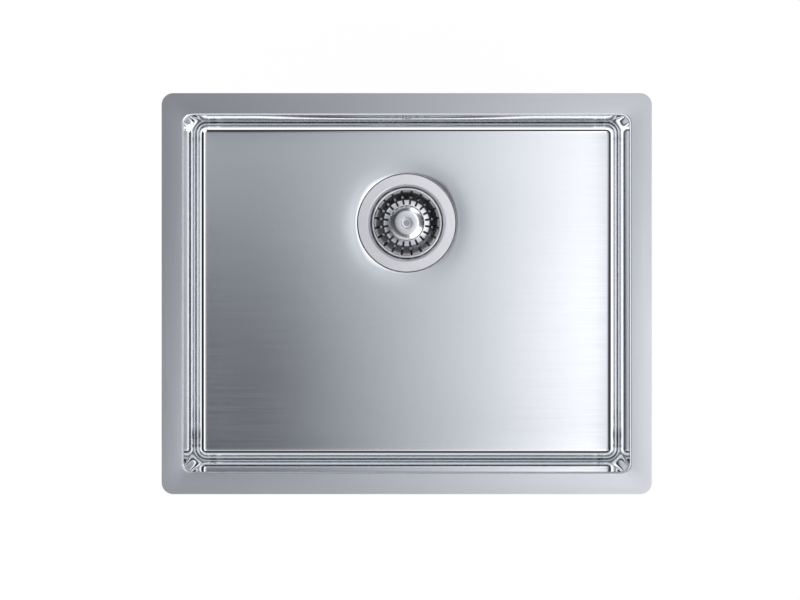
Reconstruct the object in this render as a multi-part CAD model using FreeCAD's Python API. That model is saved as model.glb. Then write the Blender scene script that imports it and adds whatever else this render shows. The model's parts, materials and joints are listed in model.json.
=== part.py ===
import FreeCAD, Part
import math
import os

# Undermount kitchen sink with a basket waste, a lift-out strainer plug and an overflow.
# Millimetres. The origin is the centre of the bowl's mouth, in the plane of the flange's
# upper face. +X runs to the right, +Y to the rear, where the overflow is, and +Z up.

V = FreeCAD.Vector
UP = V(0, 0, 1)
REARWARD = V(0, 1, 0)

# Sink bowl, pressed from one sheet
SHEET = 1.0
BOWL_LENGTH = 500.0  # inside the mouth, along X
BOWL_WIDTH = 400.0  # inside the mouth, along Y
BOWL_DEPTH = 200.0  # flange's upper face to the edge of the floor
BOWL_CORNER = 15.0  # upright corner radius at the mouth
WALL_DRAFT = 2.0  # how far each wall leans in over the bowl's depth
MOUTH_ROUND = 3.0  # bend from flange to wall, on the upper face
FLOOR_ROUND = 12.0  # bend from wall to floor, on the inner face
FLANGE_LAND = 25.0  # flange width, from the mouth to the outer edge
FLANGE_CORNER = 13.0
FLOOR_STRIP = 3.0  # level strip between the floor's bend and its fall
FLOOR_FALL = 2.0  # drop of the floor from that strip to the drain
DRAIN_TO_REAR = 120.0  # drain axis to the rear wall at the mouth
RECESS_DEPTH = 3.0  # pressed seat for the waste flange
WASTE_HOLE_R = 45.0  # standard 90 mm outlet hole

# Sound-damping pads glued to the outside
PAD_THICKNESS = 2.5
FLOOR_PAD_LENGTH = 340.0
FLOOR_PAD_TO_FRONT = 35.0  # front wall at the mouth to the pad
FLOOR_PAD_TO_WASTE = 20.0  # pad to the recess of the waste
SIDE_PAD_LENGTH = 240.0
SIDE_PAD_HEIGHT = 90.0
SIDE_PAD_DROP = 60.0  # flange's upper face to the top of the pad

# Waste cup: flange, conical cup and spoked floor, pressed from one sheet
CUP_SHEET = 1.0
WASTE_FLANGE_R = 57.5
RECESS_GAP = 1.0  # waste flange to the wall of the recess
CUP_GAP = 1.0  # cup to the edge of the outlet hole
CUP_BEVEL = 3.0  # bevel from the waste flange into the cup
CUP_STRAIGHT = 6.0  # upright part of the cup's wall
CUP_DEPTH = 34.0  # waste flange's upper face to the cup's floor
CUP_FLOOR_R = 33.0
CUP_FLOOR_ROUND = 3.0
WINDOW_INNER_R = 9.5  # the six water windows in the cup's floor
WINDOW_OUTER_R = 23.5
WINDOW_COUNT = 6
SPOKE_WIDTH = 5.0

# Gaskets of the waste
FLANGE_GASKET = 1.5
BODY_GASKET = 3.0
GASKET_MARGIN = 1.5  # gasket edge inside the edge of what presses on it

# Waste body, moulded plastic
BODY_WALL = 3.0
CHAMBER_GAP = 1.5  # outlet hole's edge to the chamber's wall
CHAMBER_DEPTH = 53.0
COLLAR_R = 56.0
COLLAR_THICKNESS = 4.0
FUNNEL_DEPTH = 12.0
SPIGOT_R = 23.9  # crest of the G 1 1/2 outlet thread
SPIGOT_BORE_R = 20.0
SPIGOT_LENGTH = 25.0
HUB_R = 8.5
HUB_LENGTH = 20.0
HUB_GAP = 6.0  # underside of the cup's floor to the hub
HUB_FLOOR = 2.5  # closed lower end of the hub's hole
HUB_RIB = 3.0
HUB_RIB_SET_BACK = 4.0  # hub's end faces to the ribs
INLET_DROP = 41.0  # collar's upper face to the overflow inlet's axis

# Centre screw that draws the waste body up to the sink
SCREW_R = 3.0
SCREW_HOLE_GAP = 0.3
SCREW_END_GAP = 1.5  # tip of the screw to the end of the hub's hole
POST_R = 5.0  # tall head, which also guides the plug
POST_HEIGHT = 7.0
POST_SLOT = 1.6
POST_SLOT_DEPTH = 2.0
INSERT_R = 5.5
INSERT_LENGTH = 14.0
SNUG = 0.05  # radial room of a screw or insert in its hole

# Strainer basket
BASKET_SHEET = 0.8
BASKET_RIM_R = 41.5
BASKET_RIM_LAND = 2.0
BASKET_RIM_LIP = 2.0
BASKET_DEPTH = 26.0
SHOULDER_R = 36.5
SHOULDER_DROP = 4.5
BASKET_FLOOR_R = 27.5
BASKET_SLOTS = 20
SLOT_WIDTH = 2.5
SLOT_KNOB_GAP = 1.2  # inner end of a slot to the knob
SLOT_RIM_GAP = 0.7  # end of a slot to the rim's land

# Knob, its screw, the guide socket, the catch ring and the seal
KNOB_R = 21.0
KNOB_SIDE = 5.3  # upright side below the slope of the cap
KNOB_ROUND = 2.5
KNOB_CROWN_R = 15.5  # the cap is nearly flat within it
KNOB_CROWN = 1.2
KNOB_HEIGHT = 9.4
DIMPLE_R = 6.8
DIMPLE_DEPTH = 1.6
KNOB_SCREW_R = 2.0
KNOB_SCREW_HEAD_R = 3.6
KNOB_SCREW_HEAD = 1.2
KNOB_SCREW_LENGTH = 4.0
SLEEVE_R = 8.0
SLEEVE_GAP = 0.1
RETAINER_R = 20.0
RETAINER_THICKNESS = 1.5
POST_GAP = 0.3
BORE_HEADROOM = 1.0  # top of the post to the end of the socket's bore
RING_R = 0.85  # section radius of the catch ring
RING_GAP = 0.15
RING_HEIGHT = 4.4  # cup's floor to the ring
SEAL_R = 29.5
SEAL_HEIGHT = 3.5
SEAL_WEB = 1.5
SEAL_GAP = 0.3

# Overflow
OVERFLOW_DROP = 36.0  # flange's upper face to the overflow's centre
OVERFLOW_SLOT_WIDTH = 5.2
OVERFLOW_SLOT_HEIGHT = 10.0
OVERFLOW_SLOT_PITCH = 10.5  # between the two slots of a pair
OVERFLOW_PAIR_PITCH = 33.5  # between the middles of the two pairs
OVERFLOW_GASKET = 2.0
HOUSING_LENGTH = 64.0
HOUSING_RISE = 16.0  # overflow's centre to the housing's top
HOUSING_FALL = 22.0  # overflow's centre to the housing's floor
HOUSING_WALL = 2.5
GASKET_FRAME = 5.0
GASKET_BAR = 14.0
OVERFLOW_SCREW_R = 2.5
OVERFLOW_SCREW_LENGTH = 14.0
OVERFLOW_HEAD_R = 4.8
OVERFLOW_HEAD = 2.2
OVERFLOW_INSERT_R = 4.0
OVERFLOW_BOSS_R = 6.0

# Overflow hose and its clips
HOSE_R = 10.0  # over the ribs
HOSE_VALLEY_R = 8.9
HOSE_BORE_R = 7.9
HOSE_CUFF = 20.0  # plain, straight end
HOSE_PITCH = 5.0
HOSE_MARGIN = 1.8  # hose to the flange's rear edge, seen from above
HOSE_STOP = 2.0  # end of the hose to the wall that its nozzle stands on
NOZZLE_GAP = 0.1
NOZZLE_LENGTH = 20.0
NOZZLE_WALL = 1.8
CLIP_BAND = 0.9
CLIP_WIDTH = 9.0
CLIP_BOX = 4.6
CLIP_BOX_LENGTH = 11.0
CLIP_SCREW_R = 1.7
CLIP_HEAD_R = 3.0
CLIP_HEAD = 3.0

# Places worked out from the sizes above
DRAIN_Y = BOWL_WIDTH / 2 - DRAIN_TO_REAR
RECESS_R = WASTE_FLANGE_R + RECESS_GAP
DRAIN_FLOOR_Z = -BOWL_DEPTH - FLOOR_FALL
RECESS_Z = DRAIN_FLOOR_Z - RECESS_DEPTH
WASTE_TOP_Z = RECESS_Z + FLANGE_GASKET + CUP_SHEET
CUP_R = WASTE_HOLE_R - CUP_GAP - CUP_SHEET
CUP_FLOOR_Z = WASTE_TOP_Z - CUP_DEPTH
COLLAR_Z = RECESS_Z - SHEET - BODY_GASKET
CHAMBER_R = WASTE_HOLE_R + CHAMBER_GAP
CHAMBER_Z = COLLAR_Z - CHAMBER_DEPTH
SPIGOT_Z = CHAMBER_Z - FUNNEL_DEPTH
OUTLET_Z = SPIGOT_Z - SPIGOT_LENGTH
HUB_Z = CUP_FLOOR_Z - CUP_SHEET - HUB_GAP
HUB_HOLE_Z = HUB_Z - HUB_LENGTH + HUB_FLOOR
INLET_Z = COLLAR_Z - INLET_DROP
SEAL_Z = CUP_FLOOR_Z + SEAL_GAP
BASKET_Z = SEAL_Z + SEAL_HEIGHT  # underside of the basket's floor
BASKET_FLOOR_Z = BASKET_Z + BASKET_SHEET
BASKET_RIM_Z = BASKET_FLOOR_Z + BASKET_DEPTH
KNOB_TOP_Z = BASKET_FLOOR_Z + KNOB_HEIGHT
DIMPLE_Z = KNOB_TOP_Z - DIMPLE_DEPTH
HOUSING_FLOOR_Z = -OVERFLOW_DROP - HOUSING_FALL
FLANGE_REAR_Y = BOWL_WIDTH / 2 + FLANGE_LAND
HOSE_Y = FLANGE_REAR_Y - HOSE_MARGIN - HOSE_R
HOSE_TOP_Z = HOUSING_FLOOR_Z - HOSE_STOP
INLET_WALL_Y = DRAIN_Y + CHAMBER_R + BODY_WALL
HOSE_END_Y = INLET_WALL_Y + HOSE_STOP
HOSE_BEND_R = HOSE_Y - HOSE_END_Y - HOSE_CUFF
NOZZLE_R = HOSE_BORE_R - NOZZLE_GAP


# Helpers: pressed sheet, turned forms and boxes

def offset_points(points, distance):
    """The polyline's points moved to the left of its direction, with mitred corners."""
    normals = []
    for a, b in zip(points, points[1:]):
        length = math.dist(a, b)
        normals.append(((a[1] - b[1]) / length, (b[0] - a[0]) / length))
    moved = []
    for index, point in enumerate(points):
        before = normals[max(index - 1, 0)]
        after = normals[min(index, len(normals) - 1)]
        reach = distance / (1 + before[0] * after[0] + before[1] * after[1])
        moved.append((point[0] + reach * (before[0] + after[0]), point[1] + reach * (before[1] + after[1])))
    return moved


def offset_radii(points, radii, distance):
    """Corner radii of the moved polyline, so that the bends keep one centre."""
    changed = []
    for a, p, b, radius in zip(points, points[1:], points[2:], radii):
        turn = (p[0] - a[0]) * (b[1] - p[1]) - (p[1] - a[1]) * (b[0] - p[0])
        changed.append(max(radius - math.copysign(distance, turn), 0.0) if radius else 0.0)
    return changed


def rounded_edges(points, radii):
    """Lines through the (radius, height) points, with an arc of the given radius at each inner one."""
    edges = []
    start = V(points[0][0], 0, points[0][1])
    for a, p, b, radius in zip(points, points[1:], points[2:], radii):
        corner = V(p[0], 0, p[1])
        back = V(a[0] - p[0], 0, a[1] - p[1]).normalize()
        on = V(b[0] - p[0], 0, b[1] - p[1]).normalize()
        if radius > 0:
            half = back.getAngle(on) / 2
            inward = (back + on).normalize()
            first = corner + back * (radius / math.tan(half))
            last = corner + on * (radius / math.tan(half))
            middle = corner + inward * (radius / math.sin(half) - radius)
            edges.append(Part.makeLine(start, first))
            edges.append(Part.Arc(first, middle, last).toShape())
            start = last
        else:
            edges.append(Part.makeLine(start, corner))
            start = corner
    edges.append(Part.makeLine(start, V(points[-1][0], 0, points[-1][1])))
    return edges


def turned_sheet(points, radii, thickness):
    """Pressed sheet turned about Z, its upper or inner face along the points, outside in."""
    under_points = offset_points(points, thickness)
    upper = rounded_edges(points, radii)
    under = rounded_edges(under_points, offset_radii(points, radii, thickness))
    ends = []
    for a, b in ((points[0], under_points[0]), (points[-1], under_points[-1])):
        ends.append(Part.makeLine(V(a[0], 0, a[1]), V(b[0], 0, b[1])))
    outline = Part.Wire(Part.__sortEdges__(upper + under + ends))
    return Part.Face(outline).revolve(V(0, 0, 0), UP, 360)


def turned(points):
    """Solid turned about Z from a closed outline of (radius, height) points."""
    outline = Part.makePolygon([V(r, 0, z) for r, z in points + points[:1]])
    return Part.Face(outline).revolve(V(0, 0, 0), UP, 360)


def disc(radius, low, high):
    """Upright cylinder on the Z axis."""
    return Part.makeCylinder(radius, high - low, V(0, 0, low), UP)


def ring(outer, inner, low, high):
    return disc(outer, low, high).cut(disc(inner, low - SHEET, high + SHEET))


def box(low, high):
    size = [b - a for a, b in zip(low, high)]
    return Part.makeBox(*size, V(*low))


def at_drain(shape):
    """The shape moved from the Z axis to the drain's axis."""
    return shape.translated(V(0, DRAIN_Y, 0))


def around(shape, count, first=0.0):
    """Copies of the shape spread evenly round the Z axis, as one compound."""
    copies = []
    for index in range(count):
        copies.append(shape.rotated(V(0, 0, 0), UP, first + index * 360.0 / count))
    return Part.makeCompound(copies)


# Sink bowl

def rounded_rectangle(length, width, corner, z):
    """Closed wire centred on the Z axis, in eight edges, from the right side's front end."""
    x = length / 2
    y = width / 2
    diagonal = corner * (1 - math.sqrt(0.5))
    edges = []
    for sx, sy, along_y in ((1, 1, True), (-1, 1, False), (-1, -1, True), (1, -1, False)):
        side = V(sx * x, sy * (y - corner), z)
        end = V(sx * (x - corner), sy * y, z)
        middle = V(sx * (x - diagonal), sy * (y - diagonal), z)
        if along_y:
            edges.append(Part.makeLine(V(sx * x, -sy * (y - corner), z), side))
            edges.append(Part.Arc(side, middle, end).toShape())
        else:
            edges.append(Part.makeLine(V(-sx * (x - corner), sy * y, z), end))
            edges.append(Part.Arc(end, middle, side).toShape())
    return Part.Wire(edges)


def bowl_form(grow):
    """The bowl's inner form, or with grow its outer one: leaning walls and a rounded foot."""
    depth = BOWL_DEPTH + grow
    lean = WALL_DRAFT * depth / BOWL_DEPTH
    length = BOWL_LENGTH + 2 * grow
    width = BOWL_WIDTH + 2 * grow
    corner = BOWL_CORNER + grow
    top = rounded_rectangle(length, width, corner, 0)
    foot = rounded_rectangle(length - 2 * lean, width - 2 * lean, corner - lean, -depth)
    form = Part.makeLoft([top, foot], True, True)
    foot_edges = [e for e in form.Edges if max(v.Point.z for v in e.Vertexes) < 1e-6 - depth]
    return form.makeFillet(min(FLOOR_ROUND, corner - lean - SHEET / 4) + grow / 2, foot_edges)


def drain_circle(radius, z):
    """Circle round the drain in eight arcs, which face the eight edges of the floor's outline."""
    inset = WALL_DRAFT + FLOOR_ROUND + FLOOR_STRIP
    x = BOWL_LENGTH / 2 - inset
    low = -BOWL_WIDTH / 2 + inset - DRAIN_Y
    high = BOWL_WIDTH / 2 - inset - DRAIN_Y
    split = FLOOR_STRIP
    marks = [(x, low + split), (x, high - split), (x - split, high), (split - x, high)]
    marks += [(-x, high - split), (-x, low + split), (split - x, low), (x - split, low)]
    angles = [math.atan2(my, mx) for mx, my in marks]
    edges = []
    for first, last in zip(angles, angles[1:] + angles[:1]):
        sweep = (last - first) % (2 * math.pi)
        ends = [first, first + sweep / 2, first + sweep]
        points = [V(radius * math.cos(a), DRAIN_Y + radius * math.sin(a), z) for a in ends]
        edges.append(Part.Arc(*points).toShape())
    return Part.Wire(edges)


def fall_form(grow):
    """What the floor's fall takes below the level strip."""
    inset = WALL_DRAFT + FLOOR_ROUND + FLOOR_STRIP
    edge = rounded_rectangle(BOWL_LENGTH - 2 * inset, BOWL_WIDTH - 2 * inset, FLOOR_STRIP, -BOWL_DEPTH - grow)
    return Part.makeLoft([edge, drain_circle(RECESS_R + grow, DRAIN_FLOOR_Z - grow)], True, True)


def skin_form(grow):
    """Everything inside the sheet's inner face, or with grow its outer face."""
    recess = at_drain(disc(RECESS_R + grow, RECESS_Z - grow, DRAIN_FLOOR_Z + FLOOR_FALL / 2))
    return bowl_form(grow).fuse([fall_form(grow), recess])


def flange_plate():
    outline = rounded_rectangle(
        BOWL_LENGTH + 2 * FLANGE_LAND, BOWL_WIDTH + 2 * FLANGE_LAND, FLANGE_CORNER, -SHEET)
    return Part.Face(outline).extrude(V(0, 0, SHEET))


def loop_edges(shape, z, length, width):
    """Level edges at height z that lie on or inside the outline of the given length and width."""
    found = []
    for edge in shape.Edges:
        low = edge.BoundBox
        level = abs(low.ZMin - z) < 1e-4 and abs(low.ZMax - z) < 1e-4
        inside = max(abs(low.XMin), abs(low.XMax)) < length / 2 and max(abs(low.YMin), abs(low.YMax)) < width / 2
        if level and inside:
            found.append(edge)
    return found


def overflow_slot_places():
    places = []
    for pair in (-1, 1):
        for side in (-1, 1):
            places.append((pair * OVERFLOW_PAIR_PITCH + side * OVERFLOW_SLOT_PITCH) / 2)
    return places


def overflow_cuts():
    """Four upright round-ended slots and the screw hole, as tools that run along Y."""
    reach = WALL_DRAFT + 2 * SHEET
    front = BOWL_WIDTH / 2 - reach
    radius = OVERFLOW_SLOT_WIDTH / 2
    half = OVERFLOW_SLOT_HEIGHT / 2 - radius
    tools = [Part.makeCylinder(OVERFLOW_SCREW_R + SCREW_HOLE_GAP, 2 * reach, V(0, front, -OVERFLOW_DROP), REARWARD)]
    for x in overflow_slot_places():
        middle = box((x - radius, front, -OVERFLOW_DROP - half), (x + radius, front + 2 * reach, half - OVERFLOW_DROP))
        tools.append(middle)
        for end in (-half, half):
            tools.append(Part.makeCylinder(radius, 2 * reach, V(x, front, end - OVERFLOW_DROP), REARWARD))
    return tools


def sink_bowl():
    body = flange_plate().fuse(bowl_form(SHEET)).removeSplitter()
    outer = loop_edges(body, -SHEET, BOWL_LENGTH + 4 * SHEET, BOWL_WIDTH + 4 * SHEET)
    body = body.makeFillet(MOUTH_ROUND - SHEET, outer)
    body = body.cut(bowl_form(0))
    mouth = loop_edges(body, 0, BOWL_LENGTH + SHEET, BOWL_WIDTH + SHEET)
    body = body.makeFillet(MOUTH_ROUND, mouth)
    recess = at_drain(disc(RECESS_R + SHEET, RECESS_Z - SHEET, DRAIN_FLOOR_Z))
    body = body.fuse([fall_form(SHEET), recess])
    hollow = at_drain(disc(RECESS_R, RECESS_Z, DRAIN_FLOOR_Z + FLOOR_FALL))
    hole = at_drain(disc(WASTE_HOLE_R, RECESS_Z - 2 * SHEET, RECESS_Z + SHEET))
    return body.cut([fall_form(0), hollow, hole] + overflow_cuts())


# Damping pads

def pad(low, high, shift):
    """Sheet of even thickness on the bowl's outer face, within the box from low to high."""
    skin = skin_form(SHEET)
    return skin.translated(shift).common(box(low, high)).cut(skin)


def floor_damping_pad():
    front = FLOOR_PAD_TO_FRONT - BOWL_WIDTH / 2
    rear = DRAIN_Y - RECESS_R - SHEET - FLOOR_PAD_TO_WASTE
    half = FLOOR_PAD_LENGTH / 2
    low = (-half, front, WASTE_TOP_Z - CUP_DEPTH)
    high = (half, rear, -BOWL_DEPTH + FLOOR_ROUND)
    return pad(low, high, V(0, 0, -PAD_THICKNESS))


def side_damping_pad(side):
    inner = BOWL_LENGTH / 2 - FLOOR_ROUND
    outer = BOWL_LENGTH / 2 + FLANGE_LAND
    xs = sorted((side * inner, side * outer))
    top = -SIDE_PAD_DROP
    low = (xs[0], -SIDE_PAD_LENGTH / 2, top - SIDE_PAD_HEIGHT)
    high = (xs[1], SIDE_PAD_LENGTH / 2, top)
    return pad(low, high, V(side * PAD_THICKNESS, 0, 0))


# Waste

def waste_cup():
    points = [
        (WASTE_FLANGE_R, WASTE_TOP_Z),
        (CUP_R + CUP_BEVEL, WASTE_TOP_Z),
        (CUP_R, WASTE_TOP_Z - CUP_BEVEL),
        (CUP_R, WASTE_TOP_Z - CUP_BEVEL - CUP_STRAIGHT),
        (CUP_FLOOR_R, CUP_FLOOR_Z),
        (SCREW_R + SCREW_HOLE_GAP, CUP_FLOOR_Z),
    ]
    cup = turned_sheet(points, [CUP_SHEET, CUP_SHEET, 0, CUP_FLOOR_ROUND], CUP_SHEET)
    windows = ring(WINDOW_OUTER_R, WINDOW_INNER_R, CUP_FLOOR_Z - 2 * CUP_SHEET, CUP_FLOOR_Z + CUP_SHEET)
    half = SPOKE_WIDTH / 2
    spoke = box((0, -half, CUP_FLOOR_Z - 3 * CUP_SHEET), (CUP_FLOOR_R, half, CUP_FLOOR_Z + 2 * CUP_SHEET))
    return at_drain(cup.cut(windows.cut(around(spoke, WINDOW_COUNT))))


def flange_gasket():
    return at_drain(ring(WASTE_FLANGE_R - GASKET_MARGIN, WASTE_HOLE_R + GASKET_MARGIN, RECESS_Z, RECESS_Z + FLANGE_GASKET))


def body_gasket():
    under = RECESS_Z - SHEET
    return at_drain(ring(COLLAR_R - GASKET_MARGIN, CHAMBER_R, under - BODY_GASKET, under))


def waste_body():
    wall_r = CHAMBER_R + BODY_WALL
    shell = turned([
        (CHAMBER_R, COLLAR_Z),
        (COLLAR_R, COLLAR_Z),
        (COLLAR_R, COLLAR_Z - COLLAR_THICKNESS),
        (wall_r, COLLAR_Z - COLLAR_THICKNESS),
        (wall_r, CHAMBER_Z),
        (SPIGOT_R, SPIGOT_Z),
        (SPIGOT_R, OUTLET_Z),
        (SPIGOT_BORE_R, OUTLET_Z),
        (SPIGOT_BORE_R, SPIGOT_Z),
        (CHAMBER_R, CHAMBER_Z + BODY_WALL),
    ])
    hub = disc(HUB_R, HUB_Z - HUB_LENGTH, HUB_Z)
    low = HUB_Z - HUB_LENGTH + HUB_RIB_SET_BACK
    rib = box((0, -HUB_RIB / 2, low), (CHAMBER_R + BODY_WALL / 2, HUB_RIB / 2, HUB_Z - HUB_RIB_SET_BACK))
    nozzle_end = wall_r + HOSE_STOP + NOZZLE_LENGTH
    nozzle = Part.makeCylinder(NOZZLE_R, nozzle_end - CHAMBER_R, V(0, CHAMBER_R, INLET_Z), REARWARD)
    nozzle = nozzle.cut(disc(CHAMBER_R, CHAMBER_Z, COLLAR_Z))
    inlet = Part.makeCylinder(NOZZLE_R - NOZZLE_WALL, nozzle_end, V(0, HUB_R, INLET_Z), REARWARD)
    body = shell.fuse([hub, nozzle] + around(rib, 4, 45).Solids)
    insert_hole = disc(INSERT_R + SNUG, HUB_Z - INSERT_LENGTH, HUB_Z)
    screw_hole = disc(SCREW_R + SCREW_HOLE_GAP, HUB_HOLE_Z, HUB_Z)
    return at_drain(body.cut([inlet, insert_hole, screw_hole]).removeSplitter())


def insert_nut():
    return at_drain(ring(INSERT_R, SCREW_R + SNUG, HUB_Z - INSERT_LENGTH, HUB_Z))


def centre_screw():
    top = CUP_FLOOR_Z + POST_HEIGHT
    post = disc(POST_R, CUP_FLOOR_Z, top)
    shank = disc(SCREW_R, HUB_HOLE_Z + SCREW_END_GAP, CUP_FLOOR_Z)
    slot = box((-POST_R, -POST_SLOT / 2, top - POST_SLOT_DEPTH), (POST_R, POST_SLOT / 2, top))
    return at_drain(post.fuse(shank).cut(slot))


# Strainer basket and what rides on it

def basket_cup():
    points = [
        (BASKET_RIM_R, BASKET_RIM_Z - BASKET_RIM_LIP),
        (BASKET_RIM_R, BASKET_RIM_Z),
        (BASKET_RIM_R - BASKET_RIM_LAND, BASKET_RIM_Z),
        (SHOULDER_R, BASKET_RIM_Z - SHOULDER_DROP),
        (BASKET_FLOOR_R, BASKET_FLOOR_Z),
        (SLEEVE_R + SLEEVE_GAP, BASKET_FLOOR_Z),
    ]
    radii = [BASKET_SHEET, BASKET_SHEET, 2 * BASKET_SHEET, 2 * BASKET_SHEET]
    cup = turned_sheet(points, radii, BASKET_SHEET)
    slot_end = BASKET_RIM_R - BASKET_RIM_LAND - SLOT_RIM_GAP
    half = SLOT_WIDTH / 2
    slot = box((KNOB_R + SLOT_KNOB_GAP, -half, BASKET_Z - BASKET_SHEET), (slot_end, half, BASKET_RIM_Z))
    return at_drain(cup.cut(around(slot, BASKET_SLOTS, 180.0 / BASKET_SLOTS)))


def basket_knob():
    points = [
        (KNOB_R, BASKET_FLOOR_Z),
        (KNOB_R, BASKET_FLOOR_Z + KNOB_SIDE),
        (KNOB_CROWN_R, KNOB_TOP_Z - KNOB_CROWN),
        (DIMPLE_R, KNOB_TOP_Z),
        (DIMPLE_R - DIMPLE_DEPTH / 2, DIMPLE_Z),
        (KNOB_SCREW_R + SCREW_HOLE_GAP, DIMPLE_Z),
    ]
    radii = [KNOB_ROUND, 2 * KNOB_ROUND, BASKET_SHEET / 2, BASKET_SHEET / 2]
    return at_drain(turned_sheet(points, radii, BASKET_SHEET))


def knob_screw():
    head = disc(KNOB_SCREW_HEAD_R, DIMPLE_Z, DIMPLE_Z + KNOB_SCREW_HEAD)
    shank = disc(KNOB_SCREW_R, DIMPLE_Z - KNOB_SCREW_LENGTH, DIMPLE_Z)
    half = KNOB_SCREW_R / 4
    top = DIMPLE_Z + KNOB_SCREW_HEAD
    slot = box((-KNOB_SCREW_HEAD_R, -half, top - KNOB_SCREW_HEAD / 2), (KNOB_SCREW_HEAD_R, half, top))
    return at_drain(head.fuse(shank).cut(slot))


def stem_socket():
    """Plastic guide under the knob: a flange that holds the seal, a sleeve and a blind bore."""
    web_z = BASKET_Z - SEAL_WEB
    top = DIMPLE_Z - BASKET_SHEET
    flange = disc(RETAINER_R, web_z - RETAINER_THICKNESS, web_z)
    sleeve = disc(SLEEVE_R, web_z, top)
    bore = disc(POST_R + POST_GAP, SEAL_Z - SEAL_HEIGHT, CUP_FLOOR_Z + POST_HEIGHT + BORE_HEADROOM)
    groove_half = RING_R + RING_GAP
    ring_z = CUP_FLOOR_Z + RING_HEIGHT
    groove = disc(POST_R + 2 * (RING_R + RING_GAP), ring_z - groove_half, ring_z + groove_half)
    thread = disc(KNOB_SCREW_R + SNUG, CUP_FLOOR_Z + POST_HEIGHT, top)
    return at_drain(flange.fuse(sleeve).cut([bore, groove, thread]))


def catch_ring():
    middle = POST_R + RING_GAP + RING_R
    torus = Part.makeTorus(middle, RING_R, V(0, 0, CUP_FLOOR_Z + RING_HEIGHT), UP)
    return at_drain(torus)


def basket_seal():
    seal = ring(SEAL_R, SLEEVE_R + SLEEVE_GAP, SEAL_Z, BASKET_Z)
    seat = disc(RETAINER_R + 2 * SLEEVE_GAP, SEAL_Z, BASKET_Z - SEAL_WEB)
    return at_drain(seal.cut(seat))


# Overflow

def housing_box(inset, rear):
    """Block behind the rear wall, set in by inset on its sides, top and floor."""
    half = HOUSING_LENGTH / 2 - inset
    low = (-half, BOWL_WIDTH / 2 - WALL_DRAFT, HOUSING_FLOOR_Z + inset)
    high = (half, rear, HOUSING_RISE - OVERFLOW_DROP - inset)
    return box(low, high)


def overflow_gasket():
    skin = bowl_form(SHEET)
    plate = housing_box(0, FLANGE_REAR_Y).common(skin.translated(V(0, OVERFLOW_GASKET, 0))).cut(skin)
    hole = housing_box(GASKET_FRAME, FLANGE_REAR_Y)
    bar = box((-GASKET_BAR / 2, 0, HOUSING_FLOOR_Z), (GASKET_BAR / 2, FLANGE_REAR_Y, 0))
    screw = Part.makeCylinder(OVERFLOW_SCREW_R + SCREW_HOLE_GAP, BOWL_WIDTH, V(0, 0, -OVERFLOW_DROP), REARWARD)
    return plate.cut(hole.cut(bar)).cut(screw)


def overflow_housing():
    front = bowl_form(SHEET).translated(V(0, OVERFLOW_GASKET, 0))
    rear = HOSE_Y + HOSE_R
    block = housing_box(0, rear).cut(housing_box(HOUSING_WALL, rear - HOUSING_WALL))
    nozzle = disc(NOZZLE_R, HOUSING_FLOOR_Z - HOSE_STOP - NOZZLE_LENGTH, HOUSING_FLOOR_Z)
    nozzle = nozzle.translated(V(0, HOSE_Y, 0))
    boss = Part.makeCylinder(OVERFLOW_BOSS_R, rear - BOWL_WIDTH / 2, V(0, BOWL_WIDTH / 2, -OVERFLOW_DROP), REARWARD)
    bore = disc(NOZZLE_R - NOZZLE_WALL, HOSE_TOP_Z - NOZZLE_LENGTH, HOUSING_FLOOR_Z + HOUSING_WALL)
    insert_end = rear - HOUSING_WALL - BOWL_WIDTH / 2
    seat = Part.makeCylinder(OVERFLOW_INSERT_R + SNUG, insert_end, V(0, BOWL_WIDTH / 2, -OVERFLOW_DROP), REARWARD)
    return block.fuse([nozzle, boss]).cut([bore.translated(V(0, HOSE_Y, 0)), seat, front])


def overflow_insert():
    rear = HOSE_Y + HOSE_R - HOUSING_WALL
    front = BOWL_WIDTH / 2 + SHEET + OVERFLOW_GASKET
    body = Part.makeCylinder(OVERFLOW_INSERT_R, rear - front, V(0, front, -OVERFLOW_DROP), REARWARD)
    return body.cut(Part.makeCylinder(OVERFLOW_SCREW_R + SNUG, rear, V(0, 0, -OVERFLOW_DROP), REARWARD))


def overflow_screw():
    seat = BOWL_WIDTH / 2 - WALL_DRAFT * (OVERFLOW_DROP + OVERFLOW_HEAD_R) / BOWL_DEPTH
    front = V(0, seat - OVERFLOW_HEAD, -OVERFLOW_DROP)
    head = Part.makeCylinder(OVERFLOW_HEAD_R, OVERFLOW_HEAD, front, REARWARD)
    shank = Part.makeCylinder(OVERFLOW_SCREW_R, OVERFLOW_SCREW_LENGTH, V(0, seat, -OVERFLOW_DROP), REARWARD)
    half = OVERFLOW_SCREW_R / 4
    slot = box(
        (-OVERFLOW_HEAD_R, seat - OVERFLOW_HEAD, -OVERFLOW_DROP - half),
        (OVERFLOW_HEAD_R, seat - OVERFLOW_HEAD / 2, half - OVERFLOW_DROP))
    return head.fuse(shank).cut(slot)


def hose_lengths():
    """Down run, quarter bend and forward run of the hose's middle line."""
    return (HOSE_TOP_Z - INLET_Z - HOSE_BEND_R, math.pi / 2 * HOSE_BEND_R, HOSE_CUFF)


def hose_place(distance):
    """Middle of the hose and its turn about X, at a distance from its upper end."""
    down, bend, forward = hose_lengths()
    if distance <= down:
        return V(0, HOSE_Y, HOSE_TOP_Z - distance), 180.0
    if distance <= down + bend:
        angle = (distance - down) / HOSE_BEND_R
        y = HOSE_Y - HOSE_BEND_R * (1 - math.cos(angle))
        z = INLET_Z + HOSE_BEND_R * (1 - math.sin(angle))
        return V(0, y, z), 180.0 - math.degrees(angle)
    return V(0, HOSE_END_Y + down + bend + forward - distance, INLET_Z), 90.0


def hose_circle(distance, radius):
    middle, turn = hose_place(distance)
    circle = Part.Wire(Part.makeCircle(radius))
    circle.Placement = FreeCAD.Placement(middle, FreeCAD.Rotation(V(1, 0, 0), turn))
    return circle


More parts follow.
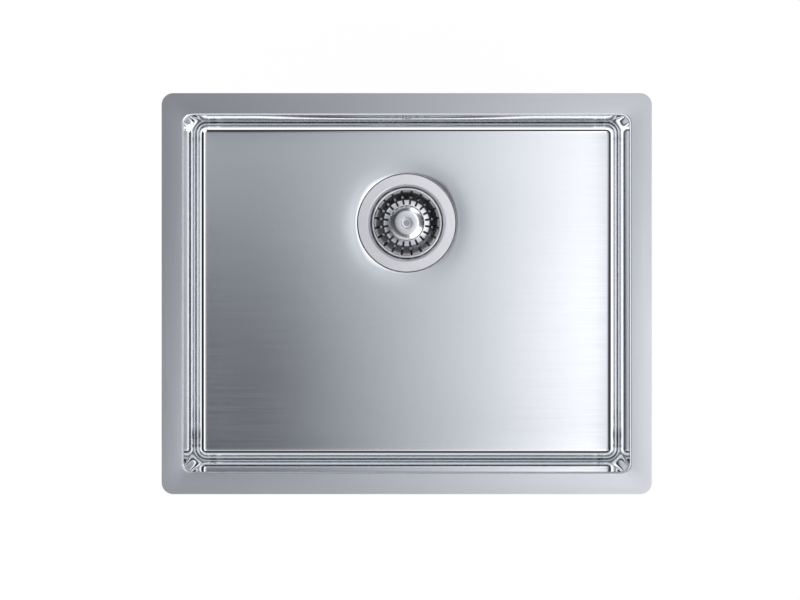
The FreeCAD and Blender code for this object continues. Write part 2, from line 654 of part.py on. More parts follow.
def hose_bore():
    down, bend, forward = hose_lengths()
    tops = [hose_place(0)[0], hose_place(down)[0], hose_place(down + bend)[0], hose_place(down + bend + forward)[0]]
    middle = hose_place(down + bend / 2)[0]
    path = Part.Wire([
        Part.makeLine(tops[0], tops[1]),
        Part.Arc(tops[1], middle, tops[2]).toShape(),
        Part.makeLine(tops[2], tops[3]),
    ])
    return path.makePipeShell([hose_circle(0, HOSE_BORE_R)], True, False)


def overflow_hose():
    """Ribbed hose with plain cuffs: down behind the bowl and forward under it to the waste body."""
    total = sum(hose_lengths())
    ribbed = total - 2 * HOSE_CUFF
    count = round(ribbed / HOSE_PITCH)
    pitch = ribbed / count
    circles = [hose_circle(0, HOSE_R)]
    for index in range(count):
        start = HOSE_CUFF + index * pitch
        for share, radius in ((0.0, HOSE_R), (0.15, HOSE_VALLEY_R), (0.5, HOSE_VALLEY_R), (0.65, HOSE_R)):
            circles.append(hose_circle(start + share * pitch, radius))
    circles.append(hose_circle(total, HOSE_R))
    return Part.makeLoft(circles, True, True).cut(hose_bore())


def clip_at(shape, lower):
    """A clip piece moved from the Z axis to the hose's upper or lower cuff."""
    distance = sum(hose_lengths()) - HOSE_CUFF / 2 if lower else HOSE_CUFF / 2
    middle, turn = hose_place(distance)
    placed = shape.copy()
    placed.Placement = FreeCAD.Placement(middle, FreeCAD.Rotation(V(1, 0, 0), turn))
    return placed


def clip_screw_x():
    return HOSE_R + SNUG + CLIP_BAND + CLIP_BOX / 2


def hose_clips():
    inner = HOSE_R + SNUG
    half = CLIP_WIDTH / 2
    band = ring(inner + CLIP_BAND, inner, -half, half)
    worm_box = box((inner, -CLIP_BOX_LENGTH / 2, -half), (inner + CLIP_BAND + CLIP_BOX, CLIP_BOX_LENGTH / 2, half))
    worm_box = worm_box.cut(disc(inner, -CLIP_WIDTH, CLIP_WIDTH))
    hole = Part.makeCylinder(CLIP_SCREW_R + SNUG, CLIP_WIDTH * 3, V(clip_screw_x(), -CLIP_WIDTH * 1.5, 0), REARWARD)
    clip = band.fuse(worm_box).cut(hole)
    return Part.makeCompound([clip_at(clip, False), clip_at(clip, True)])


def clip_screws():
    length = CLIP_BOX_LENGTH
    shank = Part.makeCylinder(CLIP_SCREW_R, length, V(clip_screw_x(), -length / 2, 0), REARWARD)
    head = Part.makeCylinder(CLIP_HEAD_R, CLIP_HEAD, V(clip_screw_x(), length / 2, 0), REARWARD)
    half = CLIP_SCREW_R / 4
    x = clip_screw_x()
    end = length / 2 + CLIP_HEAD
    slot = box((x - CLIP_HEAD_R, end - CLIP_HEAD / 2, -half), (x + CLIP_HEAD_R, end, half))
    screw = head.fuse(shank).cut(slot)
    return Part.makeCompound([clip_at(screw, False), clip_at(screw, True)])


NODES = {
    "sink_bowl": sink_bowl,
    "floor_damping_pad": floor_damping_pad,
    "left_damping_pad": lambda: side_damping_pad(-1),
    "right_damping_pad": lambda: side_damping_pad(1),
    "waste_cup": waste_cup,
    "flange_gasket": flange_gasket,
    "body_gasket": body_gasket,
    "waste_body": waste_body,
    "insert_nut": insert_nut,
    "centre_screw": centre_screw,
    "basket_cup": basket_cup,
    "basket_knob": basket_knob,
    "knob_screw": knob_screw,
    "stem_socket": stem_socket,
    "catch_ring": catch_ring,
    "basket_seal": basket_seal,
    "overflow_gasket": overflow_gasket,
    "overflow_housing": overflow_housing,
    "overflow_insert": overflow_insert,
    "overflow_screw": overflow_screw,
    "overflow_hose": overflow_hose,
    "hose_clips": hose_clips,
    "clip_screws": clip_screws,
}


def main():
    os.makedirs("parts", exist_ok=True)
    for name, make in NODES.items():
        shape = make()
        shape.exportStep(f"parts/{name}.step")
        sound = "valid" if shape.isValid() else "NOT VALID"
        print(f"{name}: {sound}, solids {len(shape.Solids)}, volume {shape.Volume / 1000:.2f} cm3")
    print(f"hose: bend radius {HOSE_BEND_R:.1f}, length {sum(hose_lengths()):.1f}")


main()
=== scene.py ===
import json
import math

import bmesh
import bpy
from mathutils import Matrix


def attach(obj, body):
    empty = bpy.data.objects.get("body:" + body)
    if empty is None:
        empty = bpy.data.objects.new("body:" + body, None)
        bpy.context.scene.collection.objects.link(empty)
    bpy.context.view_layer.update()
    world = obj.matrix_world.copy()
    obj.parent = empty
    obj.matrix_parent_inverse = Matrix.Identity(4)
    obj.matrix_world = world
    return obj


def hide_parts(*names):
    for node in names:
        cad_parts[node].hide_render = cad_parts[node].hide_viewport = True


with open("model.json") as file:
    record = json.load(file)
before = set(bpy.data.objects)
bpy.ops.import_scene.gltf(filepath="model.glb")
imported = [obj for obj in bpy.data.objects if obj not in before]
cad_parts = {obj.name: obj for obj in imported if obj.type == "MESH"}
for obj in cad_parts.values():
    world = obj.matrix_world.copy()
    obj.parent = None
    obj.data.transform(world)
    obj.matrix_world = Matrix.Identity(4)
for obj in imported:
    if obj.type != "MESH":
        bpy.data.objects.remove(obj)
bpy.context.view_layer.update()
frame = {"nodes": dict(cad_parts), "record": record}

# Sizes of the CAD model that the dressed pieces follow, in metres
HALF_LENGTH = 0.250  # bowl inside the mouth, along X
HALF_WIDTH = 0.200
DEPTH = 0.200
DRAFT = 0.002
FOOT_CORNER = 0.0128  # upright corners at the foot of the walls
MOUTH_CORNER = 0.0105
FLOOR_BEND = 0.012
MOUTH_BEND = 0.003
FLANGE = 0.025
FLANGE_CORNER = 0.013
SHEET = 0.001
DRAIN_Y = 0.080
DRAIN_FLOOR_Z = -0.202
DRAIN_PATCH = 0.08  # half of the square of floor that is drawn anew round the drain
RECESS_R = 0.0585
RECESS_Z = -0.205
RECESS_BEND = 0.0006
WASTE_HOLE_R = 0.045
OVERFLOW_Z = -0.036
OVERFLOW_SLOTS = (-0.022, -0.0115, 0.0115, 0.022)  # their places along X
OVERFLOW_SLOT = (0.0052, 0.012, 0.010)  # width, depth of the cutter, height
OVERFLOW_SCREW_R = 0.0027
STRAINER_SHEET = 0.0008
STRAINER_WALL_TOP = -0.2104
STRAINER_WALL_FOOT = -0.2319
STRAINER_SLOTS = 20
STRAINER_SLOT = (0.0166, 0.0025, 0.0276)  # length outwards, width, height
STRAINER_SLOT_R = 0.0304  # middle of a slot, from the drain's axis
STRAINER_SLOT_Z = -0.2197
FLAT = 0.0001  # how near a point must lie to a plane to count as on it
SATIN_FULL = 0.00003  # off a flat face, the brushing starts at the one depth and is full at the other
SATIN_START = 0.00015

# Studio
GROUND_Z = -0.2995
GROUND_SIZE = 30.0
CARD_MIDDLE = (0.08, 0.11)
CARD_SIZE = (0.98, 0.98)
CARD_Z = 1.2
CARD_EDGE = 0.06  # width over which the card fades out
BOX_TOWARDS = (-46, 57)  # azimuth and elevation of the soft box, in degrees


# Modelling, as by hand

def begin(name, add, **settings):
    """A primitive at its size and place, as a piece at the origin in edit mode."""
    bpy.ops.object.select_all(action="DESELECT")
    add(**settings)
    piece = bpy.context.object
    piece.name = piece.data.name = name
    bpy.ops.object.transform_apply(location=True, rotation=True, scale=True)
    bpy.ops.object.mode_set(mode="EDIT")
    return piece


def choose(kind, test):
    """Selects the open piece's vertices, edges or faces whose place or normal passes the test."""
    bpy.ops.mesh.select_mode(type=kind)
    bpy.ops.mesh.select_all(action="DESELECT")
    mesh = bmesh.from_edit_mesh(bpy.context.object.data)
    if kind == "VERT":
        found = [v for v in mesh.verts if test(v.co)]
    elif kind == "EDGE":
        found = [e for e in mesh.edges if test(*(v.co for v in e.verts))]
    else:
        found = [f for f in mesh.faces if test(f.calc_center_median(), f.normal)]
    for item in found:
        item.select_set(True)
    bmesh.update_edit_mesh(bpy.context.object.data)


def extrude(move):
    bpy.ops.mesh.extrude_region_move(TRANSFORM_OT_translate={"value": move})


def score(places, axis):
    """Cuts the open piece along a plane at each place on an axis, so that it gets edges there."""
    for place in places:
        point = [0.0, 0.0, 0.0]
        normal = [0.0, 0.0, 0.0]
        point[axis] = place
        normal[axis] = 1.0
        bpy.ops.mesh.select_all(action="SELECT")
        bpy.ops.mesh.bisect(plane_co=point, plane_no=normal)


def steps(low, high, count):
    return [low + (high - low) * k / count for k in range(count + 1)]


def close():
    """Ends edit mode."""
    bpy.ops.object.mode_set(mode="OBJECT")


def reopen():
    bpy.ops.object.mode_set(mode="EDIT")


def face_upwards(piece, face):
    """Turns the whole open sheet over where this face of it points down."""
    if face.normal.z < 0:
        reopen()
        bpy.ops.mesh.select_all(action="SELECT")
        bpy.ops.mesh.flip_normals()
        close()


def apply_modifier(piece, kind, **settings):
    modifier = piece.modifiers.new(kind, kind)
    for key, value in settings.items():
        setattr(modifier, key, value)
    bpy.context.view_layer.objects.active = piece
    bpy.ops.object.modifier_apply(modifier=modifier.name)


def press(piece, name, depth, direction, weight):
    """Moves each vertex by its weight times the depth, by a Displace modifier on a vertex group."""
    group = piece.vertex_groups.new(name=name)
    for vertex in piece.data.vertices:
        share = weight(vertex.co)
        if share > 0:
            group.add([vertex.index], share, "REPLACE")
    apply_modifier(piece, "DISPLACE", strength=depth, mid_level=0, direction=direction, vertex_group=name)
    piece.vertex_groups.remove(piece.vertex_groups[name])


def turned_sheet(name, profile, bends, sides=96):
    """Strainer sheet turned about the drain's axis, from outer to inner (radius, height) points.

    The bends are the bevel widths at the points between the ends.
    """
    radius, height = profile[0]
    middle = (0, DRAIN_Y, height)
    piece = begin(name, bpy.ops.mesh.primitive_circle_add, vertices=sides, radius=radius, location=middle)
    bpy.ops.mesh.select_all(action="SELECT")
    for next_radius, next_height in profile[1:]:
        extrude((0, 0, next_height - height))
        share = next_radius / radius
        bpy.ops.transform.resize(value=(share, share, 1), center_override=(0, DRAIN_Y, next_height))
        radius, height = next_radius, next_height
    for (radius, height), width in zip(profile[1:-1], bends):
        choose("EDGE", lambda a, b: all(on_ring(p, radius) and abs(p.z - height) < FLAT for p in (a, b)))
        bpy.ops.mesh.bevel(offset=width, segments=5, affect="EDGES")
    bpy.ops.mesh.select_all(action="SELECT")
    bpy.ops.mesh.normals_make_consistent(inside=False)
    close()
    inner = min(piece.data.polygons, key=lambda face: math.hypot(face.center.x, face.center.y - DRAIN_Y))
    face_upwards(piece, inner)
    apply_modifier(piece, "SOLIDIFY", thickness=STRAINER_SHEET, offset=-1, use_even_offset=True)
    smooth(piece)
    return piece


def smooth(piece, degrees=30):
    bpy.ops.object.select_all(action="DESELECT")
    piece.select_set(True)
    bpy.context.view_layer.objects.active = piece
    bpy.ops.object.shade_smooth_by_angle(angle=math.radians(degrees))


def dress(piece, body, slot, finishes, *nodes):
    """Gives a finished piece its materials and its body, and hides the CAD nodes that it stands for. Its slot is not
    used.
    """
    piece.data.materials.clear()
    for finish in finishes:
        piece.data.materials.append(finish)
    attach(piece, body)
    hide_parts(*nodes)


# Shader maths

class Value:
    """A socket of a node tree. Python's operators on it add Math nodes."""

    def __init__(self, nodes, socket):
        self.nodes = nodes
        self.socket = socket

    def math(self, operation, *inputs):
        return self.nodes.add("Math", {"operation": operation}, dict(enumerate(inputs)))

    def __add__(self, other):
        return self.math("ADD", self, other)

    def __radd__(self, other):
        return self.math("ADD", other, self)

    def __sub__(self, other):
        return self.math("SUBTRACT", self, other)

    def __rsub__(self, other):
        return self.math("SUBTRACT", other, self)

    def __mul__(self, other):
        return self.math("MULTIPLY", self, other)

    def __rmul__(self, other):
        return self.math("MULTIPLY", other, self)

    def __truediv__(self, other):
        return self.math("DIVIDE", self, other)

    def __abs__(self):
        return self.math("ABSOLUTE", self)

    def power(self, exponent):
        return self.math("POWER", self, exponent)

    def clamp(self):
        return self.nodes.add("Clamp", {}, {"Value": self})

    def rise(self, low, high, start=0.0, end=1.0):
        """Runs smoothly from start to end as the value goes from low to high."""
        inputs = {"Value": self, 1: low, 2: high, 3: start, 4: end}
        return self.nodes.add("MapRange", {"interpolation_type": "SMOOTHSTEP"}, inputs)


class Nodes:
    """The nodes of one material or of the world."""

    def __init__(self, tree):
        self.tree = tree
        tree.nodes.clear()

    def add(self, kind, settings, inputs, output=0):
        node = self.tree.nodes.new("ShaderNode" + kind)
        for key, value in settings.items():
            if key == "stops":
                self.set_stops(node.color_ramp, value)
            elif key == "ease":
                node.color_ramp.interpolation = value
            else:
                setattr(node, key, value)
        for key, value in inputs.items():
            socket = node.inputs[key]
            if isinstance(value, Value):
                self.tree.links.new(value.socket, socket)
            else:
                socket.default_value = value
        return Value(self, node.outputs[output]) if node.outputs else node

    def set_stops(self, ramp, stops):
        """Each stop is a place on the ramp and a colour. The ramp starts with its two ends."""
        ramp.elements[1].position = stops[-1][0]
        for place, colour in stops[1:-1]:
            ramp.elements.new(place)
        for element, (place, colour) in zip(ramp.elements, stops):
            element.color = (*colour, 1.0)

    def object_place(self):
        return self.add("TexCoord", {}, {}, "Object")

    def axes(self, vector):
        return [self.add("SeparateXYZ", {}, {0: vector}, k) for k in range(3)]

    def stretched(self, vector, scale, turn=0.0):
        return self.add("Mapping", {}, {"Vector": vector, "Scale": scale, "Rotation": (0.0, 0.0, turn)})

    def noise(self, vector, scale, detail=2.0, roughness=0.5):
        return self.add("TexNoise", {}, {"Vector": vector, "Scale": scale, "Detail": detail, "Roughness": roughness})

    def blend(self, share, one, other):
        """A colour between two colours."""
        return self.add("Mix", {"data_type": "RGBA"}, {0: share, 6: one, 7: other}, 2)

    def bump(self, height, strength, distance):
        return self.add("Bump", {}, {"Height": height, "Strength": strength, "Distance": distance})

    def leaned(self, normal, rise):
        """The normal turned upwards by a small angle in radians."""
        up = self.add("CombineXYZ", {}, {2: rise})
        turned = self.add("VectorMath", {"operation": "ADD"}, {0: normal, 1: up})
        return self.add("VectorMath", {"operation": "NORMALIZE"}, {0: turned})


def grey(level, blue=0.0):
    return (level, level * (1 + blue / 2), level * (1 + blue), 1.0)


def shade(level, tint):
    """A colour whose parts are the level times the tint's."""
    return (*(level * part for part in tint), 1.0)


def finish_named(name, build):
    """A material whose Principled shader gets the inputs that build works out from its nodes."""
    material = bpy.data.materials.new(name)
    material.use_nodes = True
    nodes = Nodes(material.node_tree)
    shader = nodes.add("BsdfPrincipled", {}, build(nodes))
    nodes.add("OutputMaterial", {}, {"Surface": shader})
    return material


# Finishes

def bowl_steel(nodes):
    """Satin flange and floor, brushed along the sheet, and brightly polished walls.

    The rear wall springs in a little at its middle. Only its normal leans for that.
    """
    place = nodes.object_place()
    x, y, z = nodes.axes(place)
    flange = z.rise(-SATIN_START, -SATIN_FULL)
    floor = z.rise(SATIN_START - DEPTH, SATIN_FULL - DEPTH)
    # the flange's left and right arms, brushed crosswise
    side = abs(x).rise(HALF_LENGTH + 0.0015, HALF_LENGTH + 0.0025) * abs(y).rise(HALF_WIDTH, 0.226, 1.0, 0.0)
    along = nodes.noise(nodes.stretched(place, (10.0, 800.0, 14.0)), 1.0, 3.0)
    across = nodes.noise(nodes.stretched(place, (800.0, 10.0, 14.0)), 1.0, 3.0)
    grain = along * (1 - side) + across * side
    cloud = nodes.noise(place, 9.0, 3.0)
    roughness = 0.045 + flange * 0.32 + floor * 0.15
    roughness = roughness + (grain - 0.5) * (flange * 0.16 + floor * 0.10) + (cloud - 0.5) * 0.02
    height = grain * (flange * 1.6 + floor * 0.6)
    # the rear wall's middle 310 mm, most at 60 mm down
    lean = (1 - ((x + 0.012) / 0.155).power(2.0)).clamp() * y.rise(0.19, 0.195)
    lean = lean * z.rise(0.0, -0.06, 0.004, 0.0140) * z.rise(-0.068, -0.125, 1.0, 0.0)
    polished = nodes.blend(cloud, (0.70, 0.715, 0.735, 1.0), (0.74, 0.755, 0.775, 1.0))
    # the flange's satin colour runs darker towards the rear: painted shade
    satin_with_painted_shade = nodes.blend(y.rise(-0.22, 0.22), (0.65, 0.665, 0.69, 1.0), (0.48, 0.495, 0.515, 1.0))
    return {
        "Base Color": nodes.blend(flange, polished, satin_with_painted_shade),
        "Metallic": 1.0,
        "Roughness": roughness,
        "Normal": nodes.leaned(nodes.bump(height, 0.25, 0.00004), lean),
    }


def mill_steel(nodes):
    """Outside of the bowl, as the sheet left the mill."""
    place = nodes.object_place()
    grain = nodes.noise(nodes.stretched(place, (30.0, 30.0, 900.0)), 1.0, 3.0)
    cloud = nodes.noise(place, 14.0, 4.0)
    return {
        "Base Color": nodes.blend(cloud, grey(0.52, 0.02), grey(0.60, 0.02)),
        "Metallic": 1.0,
        "Roughness": 0.34 + (grain - 0.5) * 0.10 + (cloud - 0.5) * 0.12,
        "Normal": nodes.bump(grain, 0.2, 0.00004),
    }


def turned_steel(level, low, high, tint=(1.0, 1.0, 1.02)):
    """Metal with fine rings about the drain's axis."""
    def build(nodes):
        place = nodes.object_place()
        x, y, z = nodes.axes(place)
        radius = (x * x + (y - DRAIN_Y) * (y - DRAIN_Y)).power(0.5)
        rings = nodes.noise(nodes.add("CombineXYZ", {}, {0: radius, 1: 0.0, 2: z}), 2400.0, 2.0)
        cloud = nodes.noise(place, 40.0, 2.0)
        return {
            "Base Color": nodes.blend(cloud, shade(level, tint), shade(level + 0.05, tint)),
            "Metallic": 1.0,
            "Roughness": rings.rise(0.3, 0.7, low, high),
            "Normal": nodes.bump(rings, 0.2, 0.00002),
        }
    return build


def strainer_steel(nodes):
    """Polished rim and floor of the strainer. Its wall is rougher, and its colour there is painted dark as painted
    shade standing in for dark reflections, most at the rear right.
    """
    place = nodes.object_place()
    x, y, z = nodes.axes(place)
    wall = z.rise(STRAINER_WALL_FOOT + 0.0005, STRAINER_WALL_FOOT + 0.0019)
    wall = wall * z.rise(STRAINER_WALL_TOP - 0.0004, STRAINER_WALL_TOP + 0.0006, 1.0, 0.0)
    # painted shade on the wall: its share grows towards the rear right
    painted_shade_share = (x * 14.0 + (y - DRAIN_Y) * 24.0).rise(-0.7, 0.4, 0.62, 0.97)
    cloud = nodes.noise(place, 300.0, 3.0)
    bright = shade(0.76, (1.0, 1.0, 1.02))
    # colour of the painted shade, near black
    dark = shade(0.04, (1.0, 1.02, 1.06))
    return {
        "Base Color": nodes.blend(wall * painted_shade_share + (cloud - 0.5) * 0.1, bright, dark),
        "Metallic": 1.0,
        "Roughness": 0.08 + wall * 0.16 + (cloud - 0.5) * 0.08,
        "Normal": nodes.bump(cloud, 0.2, 0.00002),
    }


def plain_plastic(colour, roughness):
    def build(nodes):
        place = nodes.object_place()
        grain = nodes.noise(place, 1800.0, 2.0)
        cloud = nodes.noise(place, 30.0, 3.0)
        light = tuple(min(1.0, c * 1.08) for c in colour)
        return {
            "Base Color": nodes.blend(cloud, (*colour, 1.0), (*light, 1.0)),
            "Roughness": roughness + (cloud - 0.5) * 0.12,
            "Normal": nodes.bump(grain, 0.15, 0.00005),
        }
    return build


FINISHES = {
    "bowl_steel": bowl_steel,
    "mill_steel": mill_steel,
    "strainer_steel": strainer_steel,
    "waste_steel": turned_steel(0.84, 0.30, 0.40),
    "basket_steel": turned_steel(0.78, 0.16, 0.24),
    "screw_steel": turned_steel(0.40, 0.26, 0.36),
    "clip_steel": turned_steel(0.66, 0.18, 0.28),
    "insert_brass": turned_steel(0.72, 0.20, 0.30, (1.0, 0.74, 0.36)),
    "damping_pad": plain_plastic((0.045, 0.045, 0.048), 0.75),
    "foam_gasket": plain_plastic((0.03, 0.03, 0.03), 0.85),
    "black_rubber": plain_plastic((0.02, 0.02, 0.02), 0.55),
    "black_plastic": plain_plastic((0.03, 0.03, 0.032), 0.4),
    "white_plastic": plain_plastic((0.72, 0.72, 0.70), 0.4),
    "hose_plastic": plain_plastic((0.66, 0.66, 0.64), 0.45),
}


# Pieces

def on_ring(point, radius):
    return abs(math.hypot(point.x, point.y - DRAIN_Y) - radius) < FLAT


def at_mouth(point):
    return point.z > -FLAT and abs(point.x) < HALF_LENGTH + FLAT and abs(point.y) < HALF_WIDTH + FLAT


def on_flange_edge(point):
    return point.z > -FLAT and not at_mouth(point)


def in_drain_patch(point):
    return point.z < -DEPTH + FLAT and max(abs(point.x), abs(point.y - DRAIN_Y)) < DRAIN_PATCH + FLAT


def fall_share(point):
    """How much of the floor's fall a point of it has: all at the recess, none at the bend, steepest at the recess."""
    off = math.hypot(point.x, point.y - DRAIN_Y) - RECESS_R
    half_x = HALF_LENGTH - DRAFT - FLOOR_BEND
    half_y = HALF_WIDTH - DRAFT - FLOOR_BEND
    if point.z > -DEPTH + FLAT or abs(point.x) > half_x - FLAT or abs(point.y) > half_y - FLAT:
        return 0.0
    room = (1 - (point.x / half_x) ** 2) * (1 - (point.y / half_y) ** 2)
    off = max(off, 0.0)
    return 0.6 / (1 + off / (0.1 * room)) + 0.4 * math.exp(-(off / 0.011) ** 1.5)


def tighten_corners(half_length, half_width, share, test):
    """Resizes the rounded corners of the level outline that passes the test, each about its own corner point."""
    for side, end in ((1, 1), (1, -1), (-1, 1), (-1, -1)):
        choose("VERT", lambda point: test(point) and point.x * side > 0 and point.y * end > 0)
        bpy.ops.transform.resize(value=share, center_override=(side * half_length, end * half_width, 0))


def pressed_bowl():
    size = (2 * HALF_LENGTH, 2 * HALF_WIDTH, DEPTH)
    bowl = begin("pressed_bowl", bpy.ops.mesh.primitive_cube_add, size=1, location=(0, 0, -DEPTH / 2), scale=size)
    choose("FACE", lambda middle, normal: normal.z > 0.9)
    bpy.ops.mesh.delete(type="FACE")
    choose("VERT", lambda point: point.z < -DEPTH + FLAT)
    foot = (1 - DRAFT / HALF_LENGTH, 1 - DRAFT / HALF_WIDTH, 1)
    bpy.ops.transform.resize(value=foot, center_override=(0, 0, -DEPTH))
    choose("EDGE", lambda a, b: abs(a.z - b.z) > DEPTH / 2)
    bpy.ops.mesh.bevel(offset=FOOT_CORNER, segments=8, affect="EDGES")
    share = MOUTH_CORNER / FOOT_CORNER
    tighten_corners(HALF_LENGTH, HALF_WIDTH, (share, share, 1), lambda point: point.z > -FLAT)
    choose("EDGE", lambda a, b: max(a.z, b.z) < -DEPTH + FLAT)
    bpy.ops.mesh.bevel(offset=FLOOR_BEND, segments=16, affect="EDGES")

    # flange, drawn outwards from the mouth, and the bend between them
    choose("EDGE", lambda a, b: min(a.z, b.z) > -FLAT)
    extrude((0, 0, 0))
    wider = (1 + FLANGE / HALF_LENGTH, 1 + FLANGE / HALF_WIDTH)
    bpy.ops.transform.resize(value=(*wider, 1), center_override=(0, 0, 0))
    share = FLANGE_CORNER / MOUTH_CORNER
    shares = (share / wider[0], share / wider[1], 1)
    tighten_corners(HALF_LENGTH + FLANGE, HALF_WIDTH + FLANGE, shares, on_flange_edge)
    choose("EDGE", lambda a, b: at_mouth(a) and at_mouth(b))
    bpy.ops.mesh.bevel(offset=MOUTH_BEND, segments=6, affect="EDGES")

    # edges every 10 mm, so that the floor can be pressed
    score(steps(-0.23, 0.23, 46), 0)
    score(steps(-0.18, 0.18, 36), 1)
    score(steps(-0.18, -0.01, 17), 2)

    # drain opening: a round hole in a square patch of the floor
    choose("FACE", lambda middle, normal: in_drain_patch(middle))
    bpy.ops.mesh.delete(type="FACE")
    bpy.ops.mesh.primitive_circle_add(vertices=64, radius=RECESS_R, location=(0, DRAIN_Y, -DEPTH))
    bpy.ops.mesh.select_mode(type="EDGE")
    mesh = bmesh.from_edit_mesh(bowl.data)
    for edge in mesh.edges:
        edge.select_set(len(edge.link_faces) < 2 and all(in_drain_patch(v.co) for v in edge.verts))
    bmesh.update_edit_mesh(bowl.data)
    bpy.ops.mesh.bridge_edge_loops(number_cuts=7, interpolation="LINEAR")
    bpy.ops.mesh.select_all(action="SELECT")
    bpy.ops.mesh.normals_make_consistent(inside=False)
    close()
    face_upwards(bowl, min(bowl.data.polygons, key=lambda face: face.center.z))
    press(bowl, "fall", DRAIN_FLOOR_Z + DEPTH, "Z", fall_share)

    # recess of the waste
    reopen()
    choose("EDGE", lambda a, b: on_ring(a, RECESS_R) and on_ring(b, RECESS_R))
    extrude((0, 0, RECESS_Z - DRAIN_FLOOR_Z))
    extrude((0, 0, 0))
    narrower = WASTE_HOLE_R / RECESS_R
    bpy.ops.transform.resize(value=(narrower, narrower, 1), center_override=(0, DRAIN_Y, RECESS_Z))
    choose("EDGE", lambda a, b: on_ring(a, RECESS_R) and on_ring(b, RECESS_R) and abs(a.z - b.z) < FLAT)
    bpy.ops.mesh.bevel(offset=RECESS_BEND, segments=3, affect="EDGES")
    close()

    apply_modifier(bowl, "SOLIDIFY", thickness=SHEET, offset=-1, use_even_offset=True, material_offset=1)
    cut_overflow(bowl)
    smooth(bowl)
    return bowl


def cut_overflow(bowl):
    """Four upright slots with round ends through the rear wall, and the screw's hole between them."""
    cutters = []
    for x in OVERFLOW_SLOTS:
        place = (x, HALF_WIDTH, OVERFLOW_Z)
        slot = begin("slot_cutter", bpy.ops.mesh.primitive_cube_add, size=1, location=place, scale=OVERFLOW_SLOT)
        choose("EDGE", lambda a, b: abs(a.y - b.y) > FLAT)
        bpy.ops.mesh.bevel(offset=0.00255, segments=6, affect="EDGES")
        close()
        cutters.append(slot)
    hole = begin(
        "hole_cutter", bpy.ops.mesh.primitive_cylinder_add, vertices=24, radius=OVERFLOW_SCREW_R,
        depth=OVERFLOW_SLOT[1], location=(0, HALF_WIDTH, OVERFLOW_Z), rotation=(math.pi / 2, 0, 0),
    )
    close()
    for cutter in cutters + [hole]:
        apply_modifier(bowl, "BOOLEAN", operation="DIFFERENCE", object=cutter, solver="EXACT")
        bpy.data.objects.remove(cutter)


def strainer_cup():
    """Cup of the strainer plug, with slots from its floor up to its rim."""
    profile = [
        (0.0415, -0.2079), (0.0415, -0.2059), (0.0395, -0.2059), (0.0365, STRAINER_WALL_TOP),
        (0.0275, STRAINER_WALL_FOOT), (0.0210, -0.2313), (0.0081, -0.2313),
    ]
    cup = turned_sheet("strainer_cup", profile, [0.0006, 0.0004, 0.0005, 0.0006, 0.0010], 120)
    place = (STRAINER_SLOT_R, DRAIN_Y, STRAINER_SLOT_Z)
    slots = begin("slots_cutter", bpy.ops.mesh.primitive_cube_add, size=1, location=place, scale=STRAINER_SLOT)
    middle = (0, DRAIN_Y, 0)
    pitch = math.radians(360 / STRAINER_SLOTS)
    bpy.ops.mesh.select_all(action="SELECT")
    bpy.ops.transform.rotate(value=pitch / 2, orient_axis="Z", center_override=middle)
    for _ in range(STRAINER_SLOTS - 1):
        bpy.ops.mesh.duplicate()
        bpy.ops.transform.rotate(value=pitch, orient_axis="Z", center_override=middle)
    close()
    apply_modifier(cup, "BOOLEAN", operation="DIFFERENCE", object=slots, solver="EXACT")
    bpy.data.objects.remove(slots)
    smooth(cup)
    return cup


def strainer_knob():
    """Low domed knob with a dimple in its middle."""
    profile = [
        (0.0210, -0.2317), (0.0210, -0.2248), (0.0140, -0.2228), (0.0068, -0.2225),
        (0.0060, -0.2241), (0.0023, -0.2241),
    ]
    return turned_sheet("strainer_knob", profile, [0.0014, 0.0012, 0.0004, 0.0003])


# Studio

def camera():
    """Straight above the sink and far off, framed as in the photograph."""
    data = bpy.data.cameras.new("camera")
    data.lens = 152.4
    data.sensor_width = 36.0
    data.shift_x = -0.0084
    data.shift_y = -0.0826
    made = bpy.data.objects.new("camera", data)
    made.location = (0.0, 0.067, 3.8)
    bpy.context.scene.collection.objects.link(made)
    bpy.context.scene.camera = made


def seen(nodes):
    """1 for rays from the camera, and for mirrored and refracted ones."""
    rays = [nodes.add("LightPath", {}, {}, name) for name in ("Is Camera Ray", "Is Glossy Ray", "Is Transmission Ray")]
    return (rays[0] + rays[1] + rays[2]).clamp()


def pale_floor():
    """White ground just under the waste. It keeps a little of the sink's shadow."""
    floor = begin("floor", bpy.ops.mesh.primitive_plane_add, size=GROUND_SIZE, location=(0, 0, GROUND_Z))
    close()
    material = bpy.data.materials.new("pale_floor")
    material.use_nodes = True
    nodes = Nodes(material.node_tree)
    matt = nodes.add("BsdfDiffuse", {}, {"Color": grey(0.9)})
    white = nodes.add("Emission", {}, {"Color": grey(1.0), "Strength": 1.02})
    shader = nodes.add("MixShader", {}, {0: seen(nodes) * 0.95, 1: matt, 2: white})
    nodes.add("OutputMaterial", {}, {"Surface": shader})
    floor.data.materials.append(material)


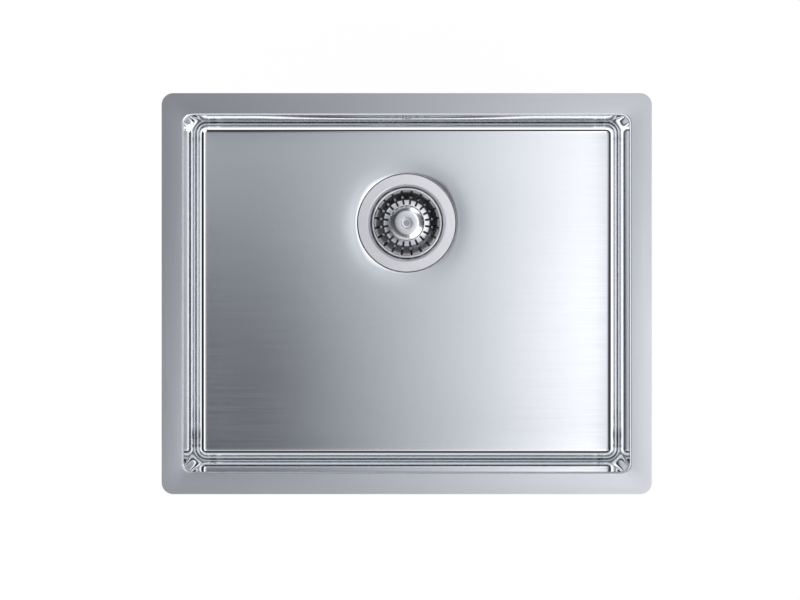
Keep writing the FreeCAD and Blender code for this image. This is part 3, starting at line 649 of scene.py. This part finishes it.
def studio_card():
    """Large soft light above the sink that the camera looks through, dim and cool at the left front."""
    place = (*CARD_MIDDLE, CARD_Z)
    card = begin("studio_card", bpy.ops.mesh.primitive_plane_add, size=1, location=place, scale=(*CARD_SIZE, 1))
    close()
    material = bpy.data.materials.new("studio_card")
    material.use_nodes = True
    nodes = Nodes(material.node_tree)
    x, y, z = nodes.axes(nodes.object_place())
    dark = (x + 0.295).power(2.0) + ((y + 0.24) * 0.48).power(2.0)
    reach = dark.power(0.5) - y.rise(-0.02, 0.2) * x.rise(0.05, 0.3) * 0.09
    levels = [(0.0, 0.04), (0.12, 0.16), (0.2, 0.36), (0.43, 0.90), (0.52, 1.24), (0.62, 1.8), (0.8, 2.0)]
    stops = [(at, tinted(level / 2)) for at, level in levels]
    level = nodes.add("ValToRGB", {"stops": stops, "ease": "B_SPLINE"}, {0: reach})
    half_x, half_y = (size / 2 for size in CARD_SIZE)
    edge = abs(x - CARD_MIDDLE[0]).rise(half_x - CARD_EDGE, half_x, 1.0, 0.0)
    edge = edge * abs(y - CARD_MIDDLE[1]).rise(half_y - CARD_EDGE, half_y, 1.0, 0.0)
    light = nodes.add("Emission", {}, {"Color": level, "Strength": 2.0})
    clear = nodes.add("BsdfTransparent", {}, {})
    shader = nodes.add("MixShader", {}, {0: edge, 1: clear, 2: light})
    nodes.add("OutputMaterial", {}, {"Surface": shader})
    card.data.materials.append(material)
    card.visible_camera = False


def tinted(level):
    """Studio light of a level: cool where it is dim, nearly neutral where it is bright."""
    cool = max(0.0, 1 - level * 1.4)
    return (level * (1 - 0.07 * cool), level, level * (1.02 + 0.10 * cool))


def towards(azimuth, elevation):
    azimuth, elevation = math.radians(azimuth), math.radians(elevation)
    return (math.cos(azimuth) * math.cos(elevation), math.sin(azimuth) * math.cos(elevation), math.sin(elevation))


def studio_world():
    """A bright band low round the sink, a dark one over it and a soft box at the right front."""
    world = bpy.data.worlds.new("studio")
    bpy.context.scene.world = world
    world.use_nodes = True
    nodes = Nodes(world.node_tree)
    place = nodes.add("TexCoord", {}, {}, "Generated")
    x, y, z = nodes.axes(place)
    height = z + x * 0.09 + y * 0.115 + x * x * 0.16
    levels = [
        (0.0, 0.5), (0.13, 0.85), (0.27, 1.4), (0.45, 1.65),
        (0.66, 1.65), (0.745, 0.03), (0.92, 0.03), (0.97, 0.5),
    ]
    stops = [(at, tinted(level / 2)) for at, level in levels]
    level = nodes.add("ValToRGB", {"stops": stops}, {0: height})
    facing = nodes.add("VectorMath", {"operation": "DOT_PRODUCT"}, {0: place, 1: towards(*BOX_TOWARDS)}, "Value")
    box = facing.rise(math.cos(math.radians(17)), math.cos(math.radians(14)))
    # dimmer behind the sink, and the dark band a little lighter at the left front
    level = nodes.blend(y.rise(0.3, 0.8) * z.rise(0.68, 0.58), level, grey(0.36))
    level = nodes.blend((x * -0.7 + y * -0.7).rise(0.0, 0.5) * 0.02, level, grey(1.0))
    level = nodes.blend(box, level, grey(1.3))
    camera_ray = nodes.add("LightPath", {}, {}, "Is Camera Ray")
    colour = nodes.blend(camera_ray, level, grey(0.5))
    background = nodes.add("Background", {}, {"Color": colour, "Strength": 2.0})
    nodes.add("OutputWorld", {}, {"Surface": background})


def main():
    bpy.context.scene.view_settings.view_transform = "Standard"
    camera()
    pale_floor()
    studio_card()
    studio_world()
    finishes = {name: finish_named(name, build) for name, build in FINISHES.items()}
    for part in frame["record"]["subparts"]:
        shown = frame["nodes"][part["node"]]
        shown.data.materials.clear()
        shown.data.materials.append(finishes[part["material_slot"]])
    dress(pressed_bowl(), "sink", "bowl_steel", [finishes["bowl_steel"], finishes["mill_steel"]], "sink_bowl")
    dress(strainer_cup(), "plug", "basket_steel", [finishes["strainer_steel"]], "basket_cup")
    dress(strainer_knob(), "plug", "basket_steel", [finishes["basket_steel"]], "basket_knob")


main()
